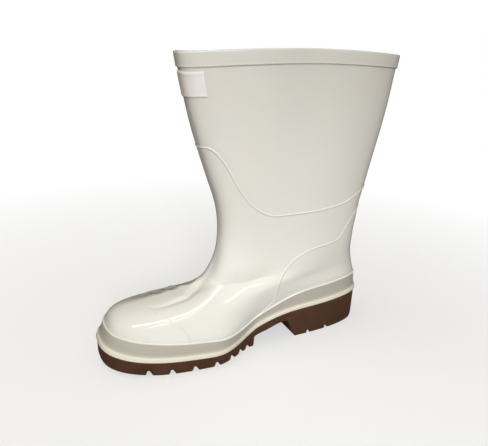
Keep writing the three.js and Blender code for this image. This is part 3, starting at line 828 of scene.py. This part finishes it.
def build_lining():
    """The knitted lining: two grids just inside the wall, from the footbed to below the rim."""
    rows, columns = 90, 180
    ring = np.linspace(0.15, TOP_RING - 0.32, rows)[:, None]
    angle = turn(columns)[None, :]
    outer = upper(ring, angle, np.full((rows, columns), -WALL - 0.05))
    inner = upper(ring, angle, np.full((rows, columns), -WALL - 0.05 - LINING_THICK))
    points = np.concatenate([outer, inner[::-1]])
    faces = grid_faces(2 * rows, columns, True, True)
    return make_piece("knitted_lining", points, faces, LINING, None)


# Sole
def arch_height(u):
    """Height of the arch gap along the sole: straight from row to row, and none outside the gap."""
    share = (u - ARCH_BACK) / (ARCH_FRONT - ARCH_BACK)
    rise = np.interp(share, ARCH_ROWS[:, 0], ARCH_ROWS[:, 1]) * ARCH_TOP
    return np.where((share > 0) & (share < 1), rise, 0)


def channel(u, centre, width, slant, depth):
    """One channel across the sole: full depth over its width, straight behind and sloped in front."""
    behind = smooth((u - centre + width / 2 + 0.5) / 0.8)
    ahead = smooth((centre + width / 2 + slant - u) / (slant + 0.4))
    return depth * np.minimum(behind, ahead)


def tread(u, side):
    """Underside of the sole: the highest of the arch gap and of toe spring plus channels. Towards the middle
    the forefoot's channels bend forward and the heel's back, into a shallow V. side runs from -1 to 1."""
    spring = TOE_SPRING * np.clip((u - SPRING_START) / (BOOT_LENGTH - SPRING_START), 0, 1) ** 1.3
    inward = 1 - np.abs(side)
    cut = np.zeros_like(u)
    for share in FRONT_CHANNELS:
        centre = share * BOOT_LENGTH + 7.0 * inward
        cut = np.maximum(cut, channel(u, centre, CHANNEL_WIDTH, CHANNEL_SLANT, CHANNEL_DEPTH))
    for share in HEEL_CHANNELS:
        centre = share * BOOT_LENGTH - 4.0 * inward
        cut = np.maximum(cut, channel(u, centre, HEEL_CHANNEL_WIDTH, 0.3, CHANNEL_DEPTH * 0.85))
    return np.maximum(spring + cut, arch_height(u))


def build_sole():
    """Sections from heel to toe, each a loop: across the underside, up the inner wall with rounded
    edges, back across the top and down the outer wall."""
    stations = 640
    angle = np.linspace(0, np.pi, stations)
    across = np.linspace(-1, 1, 57)
    rounded = np.array((0.0, 0.12, 0.30, 0.55, 0.80, 0.93, 1.0))

    def edge(turn_side, down):
        """Edge of the sole at a share down its wall, drawn in at its top and bottom corners."""
        bottom_round = 0.6 * np.clip((down - 0.86) / 0.14, 0, 1) ** 2
        top_round = 0.5 * np.clip((0.1 - down) / 0.1, 0, 1) ** 2
        offset = LIP_PROUD - SOLE_INSET - SOLE_TAPER * down - bottom_round - top_round
        return on_welt(angle * turn_side, np.full(stations, offset), 0.0)

    rows = []
    low_inner, low_outer = edge(1, 1.0), edge(-1, 1.0)
    for side in across:
        point = low_outer + (low_inner - low_outer) * (side + 1) / 2
        point[:, 2] = tread(-point[:, 1], np.full(stations, side))
        rows.append(point)
    for down in rounded[::-1][1:]:
        point = edge(1, down)
        low = tread(-low_inner[:, 1], np.ones(stations))
        point[:, 2] = welt_height(-point[:, 1]) * (1 - down) + low * down
        rows.append(point)
    top_inner, top_outer = edge(1, 0.0), edge(-1, 0.0)
    for side in (0.6, 0.2, -0.2, -0.6):
        point = top_outer + (top_inner - top_outer) * (side + 1) / 2
        point[:, 2] = welt_height(-point[:, 1])
        rows.append(point)
    for down in rounded[:-1]:
        point = edge(-1, down)
        low = tread(-low_outer[:, 1], -np.ones(stations))
        point[:, 2] = welt_height(-point[:, 1]) * (1 - down) + low * down
        rows.append(point)
    points = np.stack(rows[::-1], axis=1)
    faces = grid_faces(stations, points.shape[1], False, True)
    return make_piece("brown_outsole", points, faces, BROWN, "outsole")


def build_footbed():
    """The inner floor: a slab on the sole whose top is dished by a square and rolls down at its edge."""
    stations = 160
    angle = np.linspace(0, np.pi, stations)
    inset = -WALL - GAP - FOOTBED_TAPER

    def outline(turn_side, out):
        """Points along one side of the foot, out mm off the wall of the upper."""
        return on_welt(angle * turn_side, np.full(stations, out), 0.0)

    rows = []
    inner, outer = outline(1, inset), outline(-1, inset)
    for side in np.linspace(1, -1, 41):
        point = outer + (inner - outer) * (side + 1) / 2
        roll = 1.2 * np.clip((abs(side) - 0.9) / 0.1, 0, 1) ** 2
        dish = 1.0 * (1 - side * side)
        point[:, 2] = welt_height(-point[:, 1]) + GAP + FOOTBED_THICK - roll - dish
        rows.append(point)
    inner, outer = outline(1, inset + FOOTBED_TAPER), outline(-1, inset + FOOTBED_TAPER)
    for side in np.linspace(-1, 1, 21):
        point = outer + (inner - outer) * (side + 1) / 2
        point[:, 2] = welt_height(-point[:, 1]) + GAP
        rows.append(point)
    points = np.stack(rows[::-1], axis=1)
    faces = grid_faces(stations, points.shape[1], False, True)
    return make_piece("knit_footbed", points, faces, LINING, "footbed")


build_upper()
for ridge in RIDGE_ROWS:
    build_ridge(*ridge)
build_plate()
build_lining()
build_sole()
build_footbed()


# Studio
def light_path_mix(tree, seen, lit):
    """One shader for what the camera sees and another for the light that the rest receives."""
    path = tree.nodes.new("ShaderNodeLightPath")
    mix = tree.nodes.new("ShaderNodeMixShader")
    tree.links.new(path.outputs["Is Camera Ray"], mix.inputs[0])
    tree.links.new(lit, mix.inputs[1])
    tree.links.new(seen, mix.inputs[2])
    return mix.outputs[0]


def build_floor():
    """A plain pale floor that runs into the pale room. To the boot it throws back the light of a duller
    floor."""
    mesh = bpy.data.meshes.new("studio_floor")
    corners = [(-1, -1), (1, -1), (1, 1), (-1, 1)]
    mesh.from_pydata([(x * FLOOR_REACH, y * FLOOR_REACH, 0) for x, y in corners], [], [(0, 1, 2, 3)])
    material, tree, shader = new_material("pale_floor")
    shader.inputs["Base Color"].default_value = (*FLOOR_PALE, 1)
    shader.inputs["Roughness"].default_value = 0.8
    shader.inputs["Specular IOR Level"].default_value = 0.2
    far = tree.nodes.new("ShaderNodeEmission")
    far.inputs["Color"].default_value = (*BACKDROP, 1)
    length = tree.nodes.new("ShaderNodeVectorMath")
    length.operation = "LENGTH"
    tree.links.new(object_place(tree), length.inputs[0])
    fade = map_range(tree, length.outputs["Value"], 0.12, 0.6, 0.5, 1.0)
    blend = tree.nodes.new("ShaderNodeMixShader")
    tree.links.new(fade, blend.inputs[0])
    tree.links.new(shader.outputs[0], blend.inputs[1])
    tree.links.new(far.outputs[0], blend.inputs[2])
    dull = tree.nodes.new("ShaderNodeBsdfDiffuse")
    dull.inputs["Color"].default_value = (*FLOOR_BOUNCE, 1)
    output = next(node for node in tree.nodes if node.type == "OUTPUT_MATERIAL")
    tree.links.new(light_path_mix(tree, blend.outputs[0], dull.outputs[0]), output.inputs["Surface"])
    mesh.materials.append(material)
    floor = bpy.data.objects.new("studio_floor", mesh)
    bpy.context.scene.collection.objects.link(floor)


def add_lamp(data, place, target, power, colour):
    """A lamp put at a place and turned to a point."""
    data.energy = power
    data.color = colour
    lamp = bpy.data.objects.new(data.name, data)
    lamp.location = place
    lamp.rotation_mode = "QUATERNION"
    lamp.rotation_quaternion = (Vector(target) - Vector(place)).to_track_quat("-Z", "Y")
    bpy.context.scene.collection.objects.link(lamp)
    return lamp


def build_room():
    """A pale room to the camera; to the boot a room that is dark low down and brighter overhead."""
    world = bpy.data.worlds.new("pale_room")
    world.use_nodes = True
    tree = world.node_tree
    output = next(node for node in tree.nodes if node.type == "OUTPUT_WORLD")
    seen = tree.nodes["Background"]
    seen.inputs["Color"].default_value = (*BACKDROP, 1)
    lit = tree.nodes.new("ShaderNodeBackground")
    height = tree.nodes.new("ShaderNodeSeparateXYZ")
    tree.links.new(tree.nodes.new("ShaderNodeTexCoord").outputs["Generated"], height.inputs[0])
    rise = map_range(tree, height.outputs["Z"], -0.05, 0.75, 0.0, 1.0)
    tree.links.new(mix_colour(tree, rise, ROOM_LOW, ROOM_HIGH), lit.inputs["Color"])
    tree.links.new(light_path_mix(tree, seen.outputs[0], lit.outputs[0]), output.inputs["Surface"])
    bpy.context.scene.world = world


def build_lights():
    """Soft light from rectangular boxes, long tubes that only the gloss shows, and a wide soft spot on the
    ankle."""
    for name, place, target, size, power, colour, lights_matte, shows_in_gloss in LAMP_ROWS:
        data = bpy.data.lights.new(name, "AREA")
        data.shape = "RECTANGLE"
        data.size, data.size_y = size
        lamp = add_lamp(data, place, target, power, colour)
        lamp.visible_diffuse = lights_matte
        lamp.visible_glossy = shows_in_gloss
    data = bpy.data.lights.new("ankle_spot", "SPOT")
    data.spot_size = math.radians(SPOT_ANGLE)
    data.spot_blend = 1.0
    data.shadow_soft_size = SPOT_RADIUS
    spot = add_lamp(data, SPOT_PLACE, SPOT_TARGET, SPOT_POWER, SPOT_COLOUR)
    spot.visible_glossy = False


def build_camera():
    """The photograph's view: round from the toe to the inner side, then up, then rolled a little."""
    azimuth = math.radians(CAMERA_AZIMUTH)
    elevation = math.radians(CAMERA_ELEVATION)
    roll = math.radians(CAMERA_ROLL)
    target = Vector(CAMERA_TARGET) * MM + Vector(SHIFT)
    distance = CAMERA_DISTANCE * MM
    back = Vector((math.sin(azimuth) * math.cos(elevation),
                   -math.cos(azimuth) * math.cos(elevation), math.sin(elevation)))
    right = Vector((math.cos(azimuth), math.sin(azimuth), 0))
    up = back.cross(right)
    rolled_right = right * math.cos(roll) + up * math.sin(roll)
    rolled_up = back.cross(rolled_right)
    data = bpy.data.cameras.new("photo_camera")
    data.sensor_width = SENSOR_WIDTH
    data.lens = LENS_PIXELS / PICTURE_WIDTH * SENSOR_WIDTH
    data.clip_start = 0.01
    data.clip_end = 60.0
    camera = bpy.data.objects.new("photo_camera", data)
    axes = Matrix((rolled_right, rolled_up, back)).transposed().to_4x4()
    camera.matrix_world = Matrix.Translation(target + back * distance) @ axes
    bpy.context.scene.collection.objects.link(camera)
    bpy.context.scene.camera = camera


build_floor()
build_room()
build_lights()
build_camera()
bpy.context.scene.view_settings.view_transform = "Standard"
bpy.context.scene.view_settings.look = "None"
